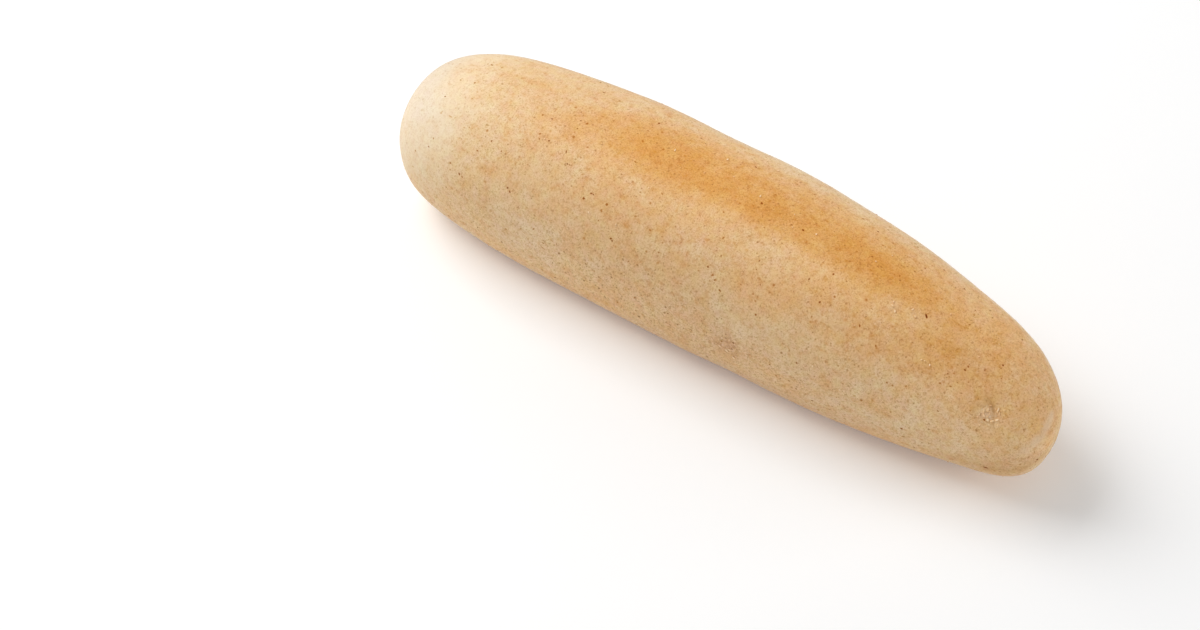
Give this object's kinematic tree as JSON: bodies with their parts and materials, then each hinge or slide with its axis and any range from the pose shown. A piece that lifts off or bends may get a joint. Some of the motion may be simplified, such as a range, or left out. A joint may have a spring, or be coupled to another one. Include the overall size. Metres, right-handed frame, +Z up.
{
  "type": "whole grain breadstick",
  "caption": "Soft, plump baked breadstick of bran-flecked dough with a toasted crown, one blunt end, one tapered end and a flat base.",
  "frame": {"origin": "on the surface that the stick rests on, under the middle of its box", "axes": "+X along the stick towards its tapered end, +Y to its back, +Z up from the flat base to the toasted crown"},
  "size_m": [0.152, 0.0426, 0.0359],
  "materials": {
    "crust": "matte soft baked crust, pale tan with fine brown bran flecks, toasted golden brown along the crown and browned on the base"
  },
  "bodies": {
    "root": {"breadstick": "crust"}
  },
  "joints": []
}
